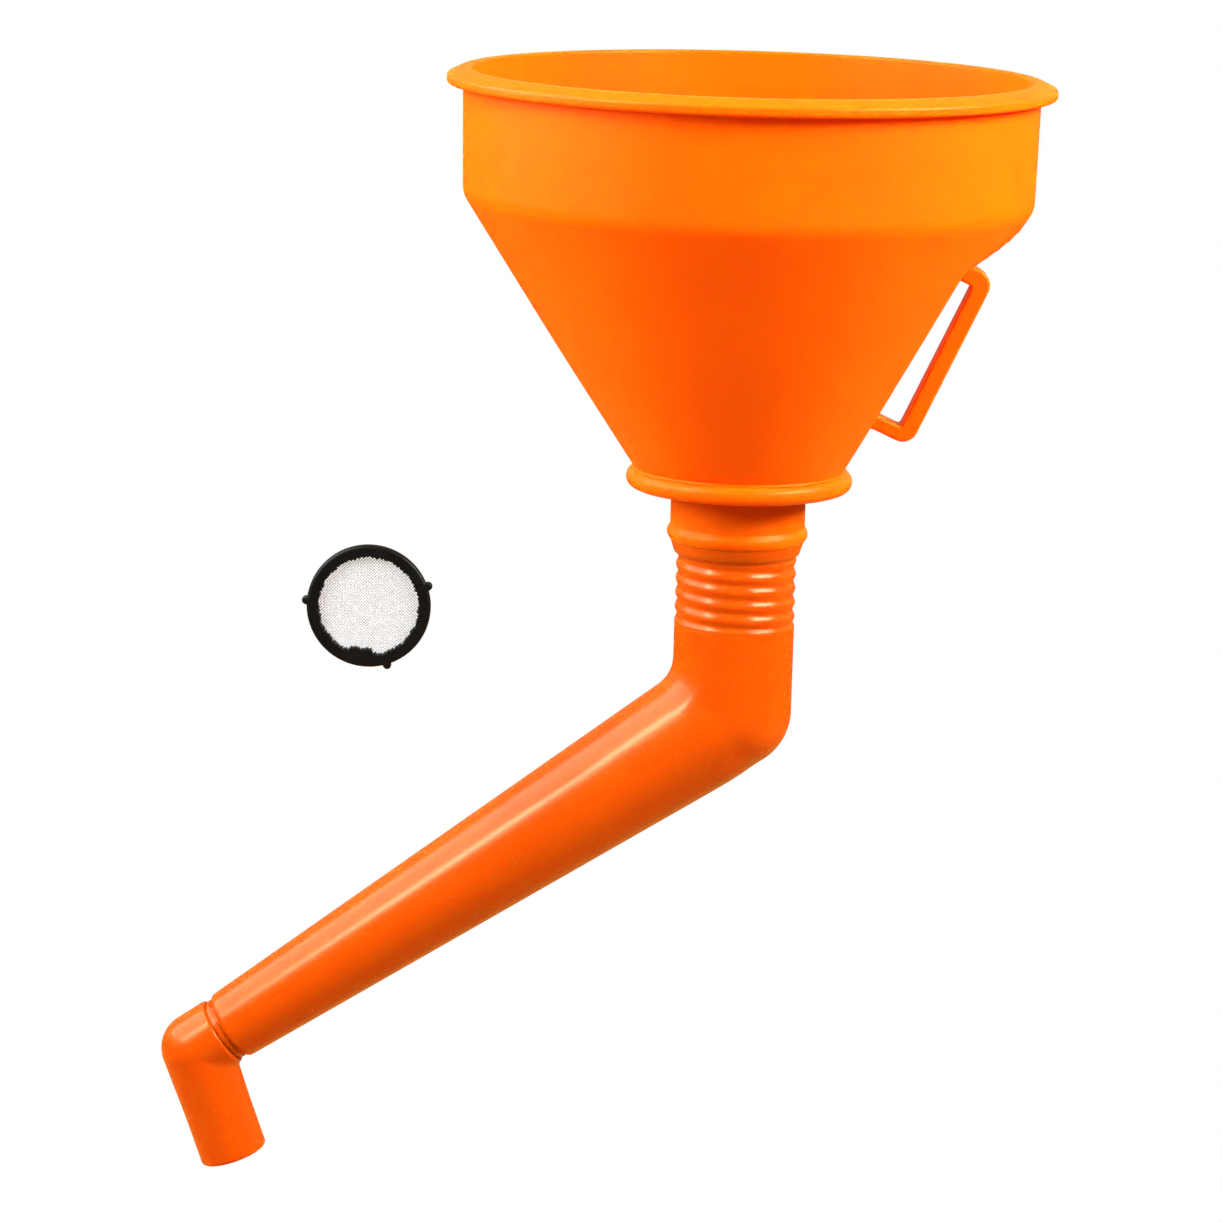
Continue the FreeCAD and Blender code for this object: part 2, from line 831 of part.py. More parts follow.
def export(thing):
    shape = thing.Shape
    if shape.isNull() or not shape.isValid() or len(shape.Solids) < 1:
        raise ValueError(f"{thing.Label} has no valid solid")
    shape.exportStep(f"parts/{thing.Label}.step")
    print(f"{thing.Label}: {len(shape.Solids)} solid, {shape.Volume:.0f} mm3, {shape.BoundBox}")


pieces = build()
doc.recompute()
for item in doc.Objects:
    check(item)
os.makedirs("parts", exist_ok=True)
for piece in pieces:
    export(piece)
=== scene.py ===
"""The looks of a plastic funnel with a strap handle, a ribbed spout, a nozzle and a strainer.

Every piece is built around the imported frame.  Lengths are in millimetres until a mesh is made.
"""
import math

import bpy
import numpy as np
from mathutils import Matrix, Vector


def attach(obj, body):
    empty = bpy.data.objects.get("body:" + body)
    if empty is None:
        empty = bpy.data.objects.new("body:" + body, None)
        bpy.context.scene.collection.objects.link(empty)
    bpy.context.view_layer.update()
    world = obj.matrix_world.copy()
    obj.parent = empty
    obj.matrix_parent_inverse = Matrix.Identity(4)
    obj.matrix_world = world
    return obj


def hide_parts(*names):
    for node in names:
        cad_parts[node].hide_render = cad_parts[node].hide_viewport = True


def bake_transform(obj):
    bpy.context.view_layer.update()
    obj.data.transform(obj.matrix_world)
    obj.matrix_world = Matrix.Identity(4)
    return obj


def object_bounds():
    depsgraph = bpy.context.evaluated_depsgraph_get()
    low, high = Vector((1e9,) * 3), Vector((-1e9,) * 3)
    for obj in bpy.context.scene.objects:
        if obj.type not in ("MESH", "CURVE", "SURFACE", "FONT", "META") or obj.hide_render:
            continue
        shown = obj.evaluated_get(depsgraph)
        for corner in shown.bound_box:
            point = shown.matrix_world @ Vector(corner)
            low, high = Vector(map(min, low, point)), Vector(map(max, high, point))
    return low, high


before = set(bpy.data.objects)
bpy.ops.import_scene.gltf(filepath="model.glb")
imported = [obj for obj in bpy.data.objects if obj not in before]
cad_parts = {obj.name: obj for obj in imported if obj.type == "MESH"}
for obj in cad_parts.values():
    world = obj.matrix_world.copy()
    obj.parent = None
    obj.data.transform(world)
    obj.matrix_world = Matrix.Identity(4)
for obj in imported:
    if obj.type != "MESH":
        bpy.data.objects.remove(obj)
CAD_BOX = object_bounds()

MM = 0.001
TURN = 2 * math.pi
SHARP_ANGLE = math.radians(50)
RIGHT = np.array((1.0, 0.0, 0.0))
BACK = np.array((0.0, 1.0, 0.0))
UP = np.array((0.0, 0.0, 1.0))

# bowl, as (radius, height, rounding) corners
BOWL_OUTLINE = (
    (18.0, -14.0, 0.08), (19.2, -12.0, 2.2), (18.0, -10.0, 0.6), (18.0, 0.0, 0.6),  # outlet
    (30.15, 0.0, 2.4), (30.15, 5.0, 2.4), (28.0, 5.1, 0.5),                         # collar
    (49.3, 37.0, 1200.0), (75.2, 77.2, 7.0), (75.7, 105.7, 0.5),                    # cone, wall
    (80.0, 106.1, 0.9), (80.0, 108.4, 0.9), (76.2, 110.2, 2.0), (73.4, 110.2, 0.7),  # lip
    (73.4, 78.0, 5.4), (24.5, 3.2, 0.8),                                            # inside
    (16.5, 3.2, 0.25), (16.5, 1.8, 0.1), (14.4, 1.8, 0.3), (14.4, -1.4, 0.2),       # seat
    (16.0, -1.4, 0.2), (16.0, -14.0, 0.12),                                         # socket
)
BOWL_COLUMNS = 384
BOWL_STEP = 2.0
COLLAR_TOP = 5.2

# relief behind the handle
CREASE_X, CREASE_Z = 55.1, 63.7
PANEL_SLOPE, SHELF_SLOPE = 0.482, 1.94
INNER_CREASE = (-1.36, 1.32)
RELIEF_SOFTNESS = 0.9

# strainer's seat in the bowl
SEAT_RADIUS, SEAT_FLOOR = 16.5, 1.0
SEAT_WITHIN, SEAT_BEYOND = 0.15, 0.3
NOTCH_DEPTH, NOTCH_WIDTH, NOTCH_SOFTNESS = 1.2, 2.6, 1.0
LUG_ANGLES = (20.0, 176.0, 288.0)

# handle, in the strap's own directions: along the strap and out of it
STRAP_ORIGIN = (42.9, 19.1)
STRAP_ANGLE = math.radians(24.5)
STRAP_WIDTH, STRAP_THICKNESS = 9.0, 4.5
GAP_LOW, GAP_HIGH = -1.2, 40.6
LEG_LOW, LEG_HIGH = 3.7, 4.7
STRAP_OUTER_ROUND, STRAP_INNER_ROUND = 4.2, 0.7
STRAP_RINGS, STRAP_STEP, STRAP_ARC_STEP = 90, 3.0, 9.0
SECTION_CORNERS, SECTION_ROUND = ((0, -1), (1, -1), (1, 1), (0, 1)), 0.17
LEG_FLARE, FLARE_FALL = 0.9, 0.27
LEG_BURIED, REACH_STEP, REACH_STEPS = 0.9, 0.05, 400

# spout above the elbow
SPOUT_BORE = 14.4
PLUG_RADIUS, PLUG_TOP, PLUG_END = 15.95, -1.6, -14.25
PLUG_COLUMNS, SHOULDER_COLUMNS = 160, 192
SHOULDER_RADIUS, SHOULDER_TOP, SHOULDER_LOW = 17.85, -14.05, 16.9
BELLOWS_TOP, BELLOWS_END = -17.0, -37.0
BELLOWS_WALL, BELLOWS_BORE = 1.15, 14.8
BELLOWS_COLUMNS, BELLOWS_RINGS = 240, 121
RIB_ROOT, RIB_HEIGHT, RIB_PITCH, RIB_PHASE = 15.5, 0.6, 3.85, -18.1
RIB_SHARPNESS = 0.9
RIB_START, RIB_FADE_TOP, RIB_FADE_END = 0.2, 2.0, 1.2
SHOULDER_RUN, TUBE_RUN, BORE_RUN = 1.6, 1.3, 0.6
MOULD_LINES = (90, 270)
MOULD_WIDTH, MOULD_SOFTNESS, MOULD_FADE = 1.5, 2.5, 0.35
SEAM_STEP = 0.03

# elbow and tapered tube; the search for a bend's surface halves its range this many times
HALVINGS = 28
TUBE_RADIUS, TUBE_WALL = 16.1, 1.4
ELBOW_DEPTH = 60.6
SPOUT_LEAN = math.radians(124.7)
TAPER_START, TAPER_END, TAPER_LENGTH, TAPER_WALL = 16.85, 9.75, 163.5, 1.3
TAPER_BLEND = 7.0
BEND_TOP, BEND_PIVOT = -45.0, -28.8
ELBOW_REACH, ELBOW_PLANES = 24.0, 44
ELBOW_FILLET, ELBOW_FILLET_START, ELBOW_FILLET_RUN = 4.5, 4.0, 10.0
CREASE_FILLET = 0.05
TUBE_COLUMNS, TAPER_RINGS, BORE_RINGS = 160, 59, 6
TAPER_EDGE, TAPER_SKIP, BORE_TOP = 2.5, 3, 0.2

# neck past the tapered tube's end
NECK_RADIUS, NECK_RING_RADIUS = 8.6, 8.95
NECK_RING_START, NECK_RING_END, NECK_END = 0.5, 1.5, 2.05
SPIGOT_RADIUS, SPIGOT_BORE, SPIGOT_END = 6.9, 5.6, 7.0
SPIGOT_BORE_START, TAPER_BORE_END = 1.6, 5.0

# nozzle
NOZZLE_START, NOZZLE_VERTEX = 2.1, 10.9
NOZZLE_LEAN = math.radians(160.6)
NOZZLE_RADIUS, NOZZLE_TIP_RADIUS, NOZZLE_WALL = 9.65, 9.2, 1.65
NOZZLE_BORE = 6.95
NOZZLE_STRAIGHT, NOZZLE_LENGTH = 18.0, 32.0
NOZZLE_PIVOT, NOZZLE_REACH, NOZZLE_PLANES = 13.2, 13.0, 40
NOZZLE_FILLET, NOZZLE_FILLET_START, NOZZLE_FILLET_RUN = 1.6, 3.0, 7.0
NOZZLE_COLUMNS = 120

# strainer: its place, its ring, the lugs outside it, and the tab and ragged flash inside it
STRAINER = (-96.0, -40.0, -26.8)
RING_INNER, RING_OUTER, RING_HALF = 13.2, 16.1, 1.4
RING_COLUMNS = 720
LUG_HEIGHT, LUG_HALF_ANGLE = 1.3, 3.9
LUG_START, LUG_RUN = 14.8, 0.8
LUG_FACE, LUG_FACE_RUN = 1.35, 0.3
TAB_ANGLE, TAB_WIDTH, TAB_SOFTNESS, TAB_DEPTH = 262.0, 28.0, 4.0, 1.6
FLASH_END, FLASH_RUN = 14.2, 0.8
TOOTH_DEPTH, TOOTH_COUNT, TOOTH_SWELLS = 0.5, 71, 13
SCALLOP_DEPTH, SCALLOP_COUNT = 0.2, 29

# woven mesh
WEAVE_PITCH, WEAVE_RADIUS, WEAVE_TURN = 0.55, 13.7, math.radians(45)
WIRE_RADIUS, WIRE_LIFT, WIRE_SIDES = 0.085, 0.095, 6


# ---------------------------------------------------------------- mesh helpers

def direction(lean):
    """The direction in the XZ plane that leans this far from straight up."""
    return np.array((math.sin(lean), 0.0, math.cos(lean)))


def across_of(way):
    """The direction in the XZ plane at a right angle to another."""
    return np.array((-way[2], 0, way[0]))


SPOUT_AXIS = direction(-SPOUT_LEAN)
NOZZLE_AXIS = direction(NOZZLE_LEAN)
ELBOW = np.array((0.0, 0.0, -ELBOW_DEPTH))
VERTEX = ELBOW + SPOUT_AXIS * (TAPER_LENGTH + NOZZLE_VERTEX)


def rounded(corners, step, closed=True, arc_step=15.0, hold=0.25):
    """Points along an outline of (x, y, rounding) corners, with arcs in its corners.

    A straight gets a point this far (hold) from each end, which keeps the shading of flats flat.
    """
    spots = [np.array(c[:2], float) for c in corners]
    count = len(spots)
    runs = []
    for k, (_, _, radius) in enumerate(corners):
        here = spots[k]
        if radius == 0 or (not closed and k in (0, count - 1)):
            runs.append([here])
            continue
        back = spots[k - 1] - here
        ahead = spots[(k + 1) % count] - here
        back /= np.linalg.norm(back)
        ahead /= np.linalg.norm(ahead)
        half = math.acos(float(np.clip(back @ ahead, -1, 1))) / 2
        start = here + back * radius / math.tan(half)
        middle = (back + ahead) / np.linalg.norm(back + ahead)
        centre = here + middle * radius / math.sin(half)
        sweep = math.pi - 2 * half
        side = math.copysign(1, -(back[0] * ahead[1] - back[1] * ahead[0]))
        parts = max(2, math.ceil(math.degrees(sweep) / arc_step))
        arm = start - centre
        run = []
        for i in range(parts + 1):
            a = side * sweep * i / parts
            run.append(centre + np.array((arm[0] * math.cos(a) - arm[1] * math.sin(a),
                                          arm[0] * math.sin(a) + arm[1] * math.cos(a))))
        runs.append(run)
    points = []
    for k, run in enumerate(runs):
        points += run
        if k == count - 1 and not closed:
            break
        start, end = run[-1], runs[(k + 1) % count][0]
        length = float(np.linalg.norm(end - start))
        marks = []
        if length > 4 * hold:
            parts = max(1, math.ceil((length - 2 * hold) / step))
            marks = [hold + (length - 2 * hold) * i / parts for i in range(parts + 1)]
        elif length > hold:
            marks = [length / 2]
        points += [start + (end - start) * m / length for m in marks]
    return np.array(points)


def skin(rows, closed=True):
    """Vertices and four-sided faces of rings of points, each ring joined to the next."""
    rows = np.asarray(rows, float)
    count, columns = rows.shape[:2]
    i = np.arange(count if closed else count - 1)[:, None]
    j = np.arange(columns)[None, :]
    following = (i + 1) % count
    beside = (j + 1) % columns
    faces = np.stack([i * columns + j, i * columns + beside,
                      following * columns + beside, following * columns + j], -1)
    return rows.reshape(-1, 3), faces.reshape(-1, 4)


def joined(parts):
    """The vertices and faces of several parts as one."""
    starts = np.cumsum([0] + [len(vertices) for vertices, _ in parts[:-1]])
    faces = [some + start for start, (_, some) in zip(starts, parts)]
    return np.concatenate([vertices for vertices, _ in parts]), np.concatenate(faces)


def end_caps(start, count, columns):
    """The two faces that close a run of rings whose first vertex has this number."""
    last = start + (count - 1) * columns
    return [range(start + columns - 1, start - 1, -1), range(last, last + columns)]


def volume(vertices, faces):
    """Six times the volume inside four-sided faces; the sign says which way they face."""
    a, b, c, d = (vertices[faces[:, k]] for k in range(4))
    return float(np.sum(a * (np.cross(b, c) + np.cross(c, d))))


def piece(name, vertices, faces, material, body=None, node=None, slot=None, caps=()):
    """Makes a closed mesh that faces outwards, sets its material, hangs it from its body and hides
    the CAD part that it replaces.
    """
    whole = faces.tolist() + [list(cap) for cap in caps]
    if volume(vertices, faces) < 0:
        whole = [face[::-1] for face in whole]
    mesh = bpy.data.meshes.new(name)
    mesh.from_pydata((vertices * MM).tolist(), [], whole)
    mesh.validate()
    mesh.shade_smooth()
    mesh.set_sharp_from_angle(angle=SHARP_ANGLE)
    mesh.materials.append(material)
    thing = bpy.data.objects.new(name, mesh)
    bpy.context.scene.collection.objects.link(thing)
    if body:
        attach(thing, body)
    if node:
        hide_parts(node)
    return thing


def angles(columns):
    """Even steps of one turn, in radians."""
    return np.arange(columns) * TURN / columns


def degrees_round(columns):
    """Even steps of one turn, in degrees."""
    return np.arange(columns) * 360 / columns


def turned(outline, columns):
    """Rings about the Z axis from (radius, height) points."""
    angle = angles(columns)
    r, z = outline[:, 0:1], outline[:, 1:2]
    return np.stack([r * np.cos(angle), r * np.sin(angle), z + 0 * angle], -1)


def outward_unit(degrees):
    """The (x, y) directions at these angles."""
    return np.stack([np.cos(np.radians(degrees)), np.sin(np.radians(degrees))], -1)


def smooth_step(t):
    """0 below 0 and 1 above 1, with a smooth rise between."""
    t = np.clip(t, 0, 1)
    return t * t * (3 - 2 * t)


def smooth_min(a, b, k):
    """The smaller of two values, with a soft change from one to the other."""
    h = np.maximum(k - np.abs(a - b), 0) / k
    return np.minimum(a, b) - h * h * k / 4


def away_from(angle, middle):
    """The signed difference of two angles in degrees, from -180 to 180."""
    return (angle - middle + 180) % 360 - 180


def bump(angle, middle, width, soft):
    """1 within a stretch of angles round the middle, falling off to 0; all in degrees."""
    return smooth_step((width / 2 + soft - np.abs(away_from(angle, middle))) / (2 * soft))


def wave(angle, count, shift=0.0):
    """Waves between 0 and 1, this many in a turn; the angle is in degrees."""
    return 0.5 + 0.5 * np.cos(np.radians(angle) * count + shift)


# ---------------------------------------------------------------- materials

def node(tree, kind, **inputs):
    """A shader node with values for its inputs."""
    made = tree.nodes.new(kind)
    for key, value in inputs.items():
        made.inputs[key.replace("_", " ")].default_value = value
    return made


def noise(tree, where, scale, detail):
    """Noise at this many features a metre."""
    made = node(tree, "ShaderNodeTexNoise", Scale=scale, Detail=detail, Roughness=0.55)
    tree.links.new(where, made.inputs["Vector"])
    return made.outputs["Fac"]


def ranged(tree, value, low, high, start=0.3, end=0.7):
    """A value between low and high as the input goes from start to end."""
    made = node(tree, "ShaderNodeMapRange", From_Min=start, From_Max=end, To_Min=low, To_Max=high)
    tree.links.new(value, made.inputs["Value"])
    return made.outputs["Result"]


def mixed(tree, factor, first, second):
    """A colour between two others."""
    made = node(tree, "ShaderNodeMix")
    made.data_type = "RGBA"
    tree.links.new(factor, made.inputs["Factor"])
    colours = [socket for socket in made.inputs if socket.type == "RGBA"]
    colours[0].default_value = (*first, 1)
    colours[1].default_value = (*second, 1)
    return next(socket for socket in made.outputs if socket.type == "RGBA")


def new_material(name):
    """A material with its node tree, its shader and the object's own coordinates."""
    material = bpy.data.materials.new(name)
    material.use_nodes = True
    tree = material.node_tree
    where = node(tree, "ShaderNodeTexCoord").outputs["Object"]
    return material, tree, tree.nodes["Principled BSDF"], where


def add_relief(tree, shader, height, strength, distance):
    """A fine bump on the surface."""
    relief = node(tree, "ShaderNodeBump", Strength=strength, Distance=distance)
    tree.links.new(height, relief.inputs["Height"])
    tree.links.new(relief.outputs["Normal"], shader.inputs["Normal"])


def orange_plastic(name, low, high, depth, gloss, tint, rough):
    """Satin polyethylene, a little translucent, with faint flow marks and a fine grain."""
    material, tree, shader, where = new_material(name)
    flow = ranged(tree, noise(tree, where, 35.0, 4.0), 0, 1)
    tree.links.new(mixed(tree, flow, low, high), shader.inputs["Base Color"])
    grain = ranged(tree, noise(tree, where, 900.0, 2.0), rough, rough + 0.06)
    tree.links.new(grain, shader.inputs["Roughness"])
    add_relief(tree, shader, noise(tree, where, 2600.0, 2.0), 0.10, 0.00008)
    shader.inputs["Specular IOR Level"].default_value = gloss
    shader.inputs["Specular Tint"].default_value = (*tint, 1)
    shader.inputs["Subsurface Weight"].default_value = 0.8
    shader.inputs["Subsurface Radius"].default_value = (1.0, 0.15, 0.02)
    shader.inputs["Subsurface Scale"].default_value = depth
    return material


def black_plastic(name, low, high):
    """Moulded black plastic with a slightly worn, uneven satin surface."""
    material, tree, shader, where = new_material(name)
    cloud = ranged(tree, noise(tree, where, 260.0, 4.0), 0, 1)
    tree.links.new(mixed(tree, cloud, low, high), shader.inputs["Base Color"])
    grain = noise(tree, where, 1500.0, 3.0)
    tree.links.new(ranged(tree, grain, 0.32, 0.5), shader.inputs["Roughness"])
    add_relief(tree, shader, grain, 0.25, 0.0001)
    shader.inputs["Specular IOR Level"].default_value = 0.09
    return material


def drawn_wire(name, low, high):
    """Bright drawn wire."""
    material, tree, shader, where = new_material(name)
    cloud = noise(tree, where, 500.0, 2.0)
    tree.links.new(mixed(tree, ranged(tree, cloud, 0, 1), low, high), shader.inputs["Base Color"])
    tree.links.new(ranged(tree, cloud, 0.3, 0.4), shader.inputs["Roughness"])
    shader.inputs["Metallic"].default_value = 0.6
    return material


ORANGE = orange_plastic("orange_bowl", low=(0.67, 0.086, 0.0006), high=(0.70, 0.096, 0.0008),
                        depth=0.005, gloss=0.16, tint=(1.0, 0.66, 0.2), rough=0.32)
# the spout's orange is the bowl's plastic with a darker base colour: painted shade for the spout
# lying in the bowl's shadow and getting less light
SHADED_SPOUT_ORANGE = orange_plastic("orange_spout_painted_shade", low=(0.46, 0.052, 0.0005), high=(0.49, 0.059, 0.0006),
                              depth=0.004, gloss=0.26, tint=(1.0, 0.72, 0.42), rough=0.22)
BLACK = black_plastic("black_moulding", low=(0.0016, 0.0016, 0.0018), high=(0.0036, 0.0036, 0.004))
WIRE = drawn_wire("bright_wire", low=(0.42, 0.44, 0.48), high=(0.53, 0.55, 0.60))


# ---------------------------------------------------------------- bowl

def relief_limit(z, inward=0.0, upward=0.0):
    """How far out the bowl reaches behind the handle: a steep panel with a shelf over it."""
    x = CREASE_X + inward
    height = z - CREASE_Z - upward
    return -smooth_min(-x - height * SHELF_SLOPE, -x - height * PANEL_SLOPE, RELIEF_SOFTNESS)


def make_bowl():
    """The bowl turned from its outline, with the relief cut in and notches in the seat."""
    outline = rounded(BOWL_OUTLINE, BOWL_STEP)
    rows = turned(outline, BOWL_COLUMNS)
    angle = degrees_round(BOWL_COLUMNS)
    inner = np.arange(len(outline)) > np.argmax(outline[:, 1])
    seat = inner & (outline[:, 0] < SEAT_RADIUS + SEAT_BEYOND)
    seat &= (outline[:, 0] > SEAT_RADIUS - SEAT_WITHIN) & (outline[:, 1] > SEAT_FLOOR)
    width = math.degrees(NOTCH_WIDTH / SEAT_RADIUS)
    notch = sum(bump(angle, a, width, NOTCH_SOFTNESS) for a in LUG_ANGLES)
    rows[seat, :, :2] += (outward_unit(angle) * (NOTCH_DEPTH * notch)[:, None])[None]
    x, z = rows[:, :, 0], rows[:, :, 2]
    limit = np.where(inner[:, None], relief_limit(z, *INNER_CREASE), relief_limit(z))
    high = (z > COLLAR_TOP) & (x > 0)
    rows[:, :, 0] = np.where(high, smooth_min(x, limit, RELIEF_SOFTNESS), x)
    piece("bowl_moulding", *skin(rows), ORANGE, "funnel", "funnel_bowl", "orange_plastic")


# ---------------------------------------------------------------- handle

STRAP_ALONG = np.array((math.sin(STRAP_ANGLE), math.cos(STRAP_ANGLE)))
STRAP_AWAY = np.array((math.cos(STRAP_ANGLE), -math.sin(STRAP_ANGLE)))


def strap_place(away, along):
    """The (x, z) places of points given in the strap's own directions."""
    return np.array(STRAP_ORIGIN) + along * STRAP_ALONG + away * STRAP_AWAY


def strap_reach(height):
    """How far back a leg at this height along the strap goes to end inside the bowl's wall."""
    for step in range(REACH_STEPS):
        back = -step * REACH_STEP
        x, z = strap_place(back, height)
        if x < float(relief_limit(z)) - LEG_BURIED:
            break
    return back


def resampled(points, count):
    """This many points at even steps along a path."""
    length = np.r_[0, np.cumsum(np.linalg.norm(np.diff(points, axis=0), axis=1))]
    marks = np.linspace(0, length[-1], count)
    return np.stack([np.interp(marks, length, points[:, i]) for i in (0, 1)], -1)


def strap_edge(reach, low, high, rounding, far):
    """One edge of the strap: out along the lower leg, up the strap and back along the upper leg."""
    corners = ((reach[0], low, 0), (far, low, rounding), (far, high, rounding),
               (reach[1], high, 0))
    path = rounded(corners, STRAP_STEP, closed=False, arc_step=STRAP_ARC_STEP)
    return resampled(path, STRAP_RINGS)


def make_handle():
    """A flat strap with two legs: its section is swept between an outer and an inner edge."""
    reach = (strap_reach(GAP_LOW - LEG_LOW / 2), strap_reach(GAP_HIGH + LEG_HIGH / 2))
    outer = strap_edge(reach, GAP_LOW - LEG_LOW, GAP_HIGH + LEG_HIGH, STRAP_OUTER_ROUND,
                       STRAP_THICKNESS)
    inner = strap_edge(reach, GAP_LOW, GAP_HIGH, STRAP_INNER_ROUND, 0)
    # the section's roundings are shares of the thickness and of half the width
    section = rounded([(*corner, SECTION_ROUND) for corner in SECTION_CORNERS], 0.5, hold=0.02)
    out, wide = section[:, 0:1], section[:, 1]
    rows = []
    for k in range(STRAP_RINGS):
        from_end = min(k, STRAP_RINGS - 1 - k)
        flare = LEG_FLARE * math.exp(-FLARE_FALL * from_end ** 2)
        span = outer[k] - inner[k]
        span = span / np.linalg.norm(span)
        near = inner[k] - span * flare
        far = outer[k] + span * flare
        spots = near + (far - near) * out
        xz = strap_place(spots[:, 0:1], spots[:, 1:2])
        rows.append(np.stack([xz[:, 0], wide * STRAP_WIDTH / 2, xz[:, 1]], -1))
    piece("handle_strap", *skin(rows, closed=False), ORANGE, "funnel", "handle", "orange_plastic",
          end_caps(0, STRAP_RINGS, len(section)))


# ---------------------------------------------------------------- spout above the elbow

def make_plug():
    """The push fit that fills the bowl's socket."""
    outline = rounded(((SPOUT_BORE, PLUG_TOP, 0.2), (PLUG_RADIUS, PLUG_TOP, 0.8),
                       (PLUG_RADIUS, PLUG_END, 0.1), (SPOUT_BORE, PLUG_END, 0.1)), 2.0)
    piece("spout_push_fit", *skin(turned(outline, PLUG_COLUMNS)), SHADED_SPOUT_ORANGE, "plug",
          "spout_plug", "orange_plastic")


def make_shoulder():
    """The flare that meets the socket's edge."""
    outline = rounded(((SPOUT_BORE, SHOULDER_TOP, 0.1), (SHOULDER_RADIUS, SHOULDER_TOP, 0.1),
                       (SHOULDER_LOW, BELLOWS_TOP, 0.0), (SPOUT_BORE, BELLOWS_TOP, 0.0)), 0.6)
    piece("spout_flare", *skin(turned(outline, SHOULDER_COLUMNS)), SHADED_SPOUT_ORANGE, "upper_spout",
          "spout_shoulder", "orange_plastic")


def make_bellows():
    """A right-handed helix of ribs that fades in under the shoulder and out above the tube."""
    z = np.linspace(BELLOWS_TOP, BELLOWS_END, BELLOWS_RINGS)[:, None]
    angle = degrees_round(BELLOWS_COLUMNS)[None, :]
    phase = (z - RIB_PHASE) / RIB_PITCH + away_from(angle, 270) / 360
    ribs = (0.5 + 0.5 * np.cos(TURN * phase)) ** RIB_SHARPNESS
    fade = smooth_step((BELLOWS_TOP - RIB_START - z) / RIB_FADE_TOP)
    fade = fade * smooth_step((z - BELLOWS_END) / RIB_FADE_END)
    mould = sum(bump(angle, a, MOULD_WIDTH, MOULD_SOFTNESS) for a in MOULD_LINES)
    shoulder = smooth_step((z - (BELLOWS_TOP - SHOULDER_RUN)) / SHOULDER_RUN)
    tube = smooth_step((BELLOWS_END + TUBE_RUN - z) / TUBE_RUN)
    outer = (RIB_ROOT + (SHOULDER_LOW - RIB_ROOT) * shoulder
             + (TUBE_RADIUS - SEAM_STEP - RIB_ROOT) * tube
             + RIB_HEIGHT * ribs * fade * (1 - MOULD_FADE * mould))
    inner = np.minimum(outer - BELLOWS_WALL, BELLOWS_BORE)
    inner = inner * (1 - shoulder) + SPOUT_BORE * shoulder
    end = smooth_step((BELLOWS_END + BORE_RUN - z) / BORE_RUN)
    inner = inner * (1 - end) + (TUBE_RADIUS - TUBE_WALL) * end
    turn = np.radians(angle) + 0 * z

    def rings(radius):
        return np.stack([radius * np.cos(turn), radius * np.sin(turn), z + 0 * turn], -1)

    rows = np.concatenate([rings(outer), rings(inner)[::-1]])
    made = piece("spout_ribs", *skin(rows), SHADED_SPOUT_ORANGE)
    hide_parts("spout_bellows")
    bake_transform(made)


# ---------------------------------------------------------------- bent tubes

def half_line(points, start, way):
    """Distance to a half-line and how far along it the nearest point is."""
    along = np.maximum((points - start) @ way, 0)
    nearest = start + along[..., None] * way
    return np.linalg.norm(points - nearest, axis=-1), along


def spokes(across, columns):
    """Directions round a ring that lies across a tube and along Y."""
    angle = angles(columns)
    return np.cos(angle)[:, None] * across + np.sin(angle)[:, None] * BACK


def rings_along(path, start, way, across, columns):
    """Rings round a straight, one for each (distance, radius) point."""
    return [start + way * s + r * spokes(across, columns) for s, r in path]


def fan(field, pivot, start_across, end_across, distance, reach, columns, count):
    """Sections of a bent tube, on planes that turn about a pivot from one straight to the next."""
    whole = math.acos(float(start_across @ end_across))
    rows = []
    for i in range(1, count):
        t = i / count
        across = math.sin((1 - t) * whole) * start_across + math.sin(t * whole) * end_across
        across = across / np.linalg.norm(across)
        centre = pivot + distance * across
        ways = spokes(across, columns)
        low, high = np.zeros(columns), np.full(columns, reach)
        for _ in range(HALVINGS):
            middle = (low + high) / 2
            outside = field(centre + ways * middle[:, None]) > 0
            high = np.where(outside, middle, high)
            low = np.where(outside, low, middle)
        rows.append(centre + ways * low[:, None])
    return rows


def fillet(points, corner, inward, size, start, run):
    """How softly two straights meet: sharp outside the bend, with a fillet inside it."""
    depth = (points - corner) @ inward
    return CREASE_FILLET + size * smooth_step((depth - start) / run)


def unit(way):
    """The same direction with a length of 1."""
    return way / np.linalg.norm(way)


def taper_radius(along):
    """The tapered tube's radius, which starts at the upright tube's."""
    straight = TAPER_START + (TAPER_END - TAPER_START) * along / TAPER_LENGTH
    return straight - (TAPER_START - TUBE_RADIUS) * np.exp(-(along / TAPER_BLEND) ** 2)


def elbow_field(wall):
    """Below 0 inside the elbow, less a wall."""
    inward = unit(UP + SPOUT_AXIS)

    def field(points):
        upper, _ = half_line(points, ELBOW, UP)
        lower, along = half_line(points, ELBOW, SPOUT_AXIS)
        softness = fillet(points, ELBOW, inward, ELBOW_FILLET, ELBOW_FILLET_START,
                          ELBOW_FILLET_RUN)
        return smooth_min(upper - (TUBE_RADIUS - wall), lower - (taper_radius(along) - wall),
                          softness)

    return field


